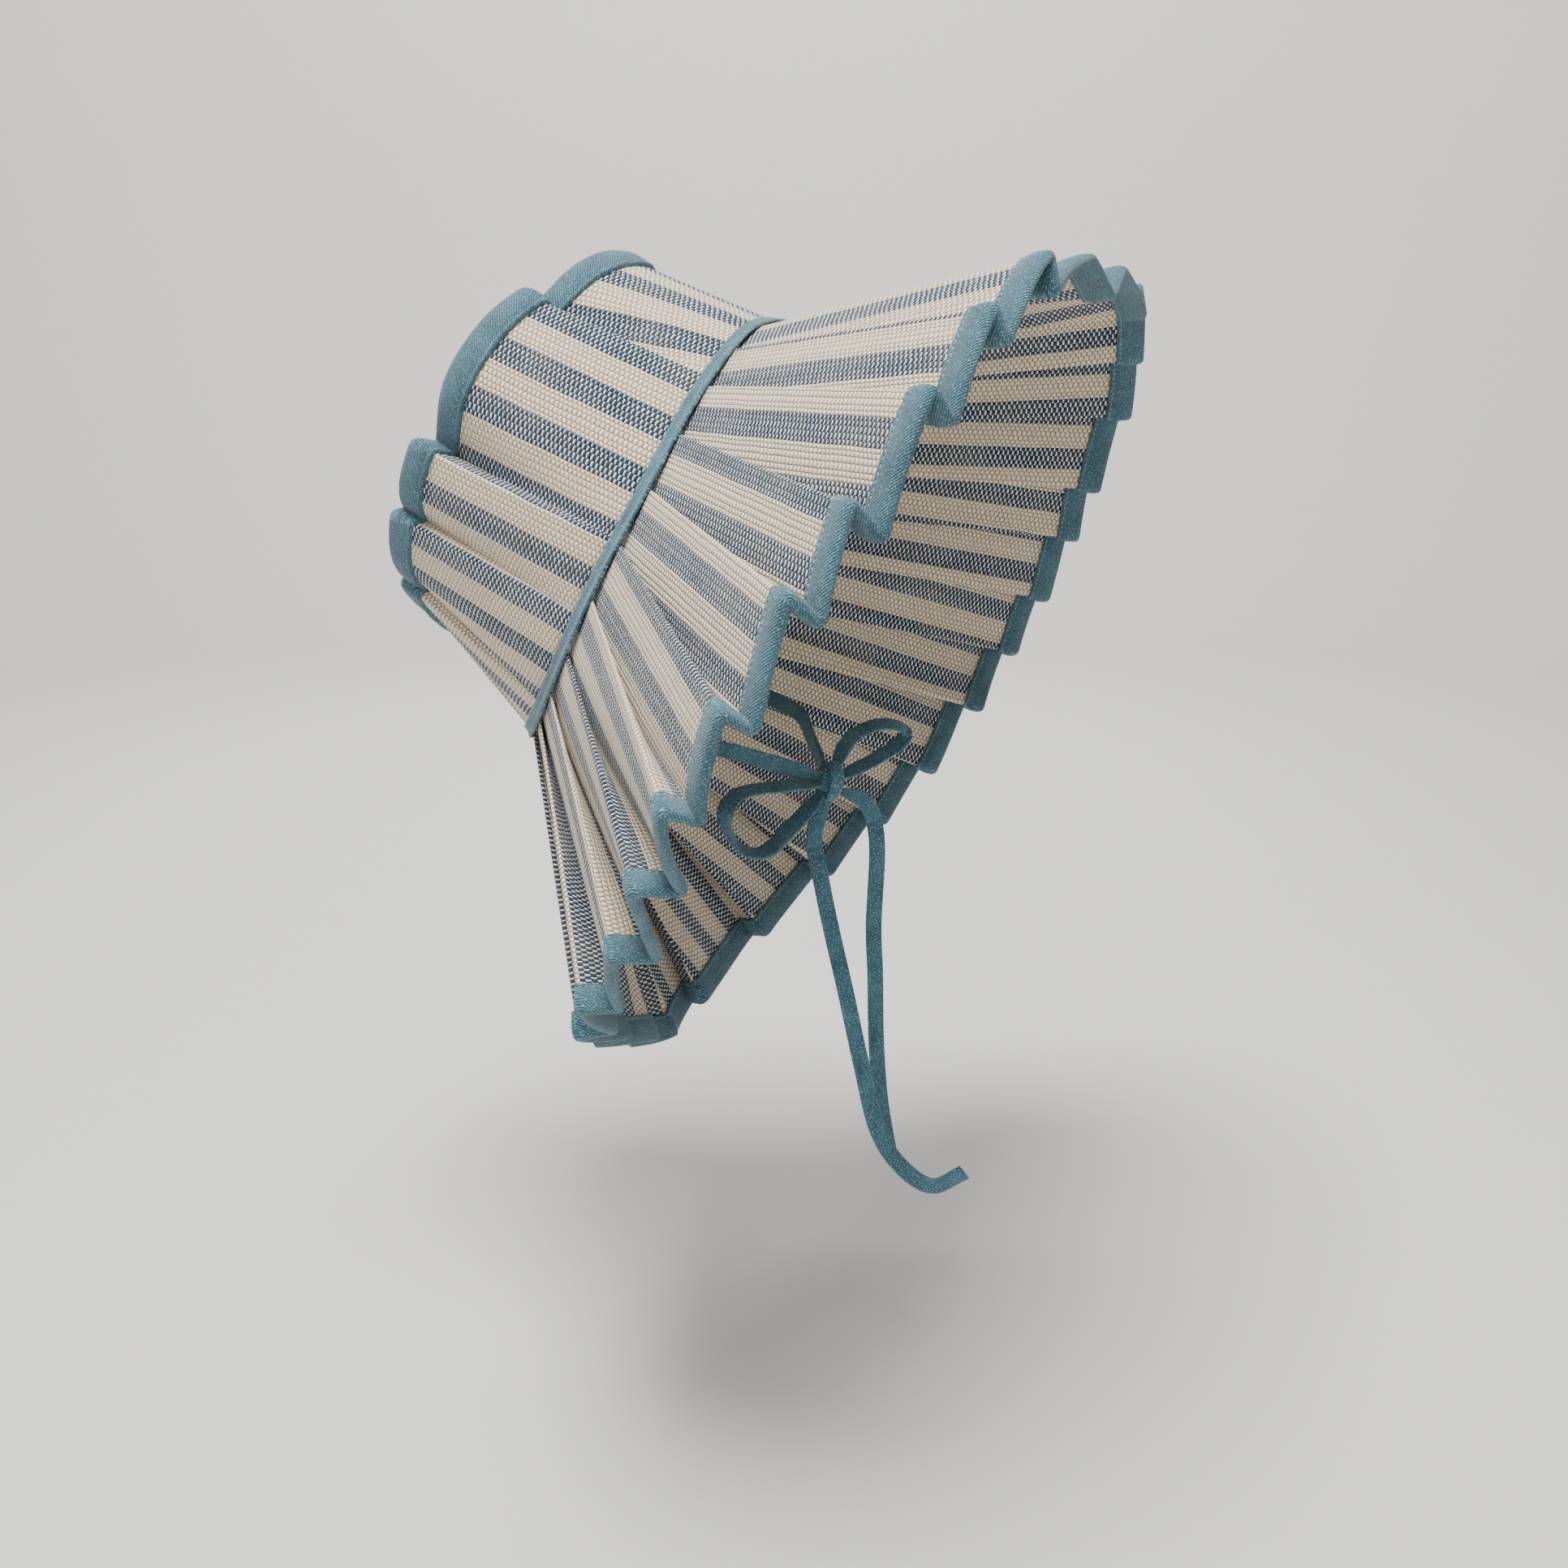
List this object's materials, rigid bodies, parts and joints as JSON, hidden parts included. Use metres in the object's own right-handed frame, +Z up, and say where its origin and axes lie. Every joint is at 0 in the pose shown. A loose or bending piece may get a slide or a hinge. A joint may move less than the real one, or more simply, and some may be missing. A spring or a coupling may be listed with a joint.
{
  "type": "poke bonnet",
  "caption": "Pleated poke bonnet of striped woven cloth with a flared brim, tapered crown, bound edges and tape ties in a bow.",
  "frame": {"origin": "inside of the band at the top of the head, where the bonnet sits on the head", "axes": "-Y is the way the wearer faces, +Z up, X across; the bonnet is alike on both sides of X = 0 but for its bow"},
  "size_m": [0.3846, 0.2967, 0.382],
  "materials": {
    "striped_cloth": "matte woven straw and cotton",
    "twill_tape": "matte cotton twill"
  },
  "bodies": {
    "root": {"crown": "striped_cloth", "brim": "striped_cloth", "band": "twill_tape", "brim_edge_binding": "twill_tape", "crown_edge_binding": "twill_tape", "tie_left": "twill_tape", "tie_right": "twill_tape", "bow_knot": "twill_tape", "bow_loop_left": "twill_tape", "bow_loop_right": "twill_tape", "bow_end_left": "twill_tape", "bow_end_right": "twill_tape"}
  },
  "joints": []
}
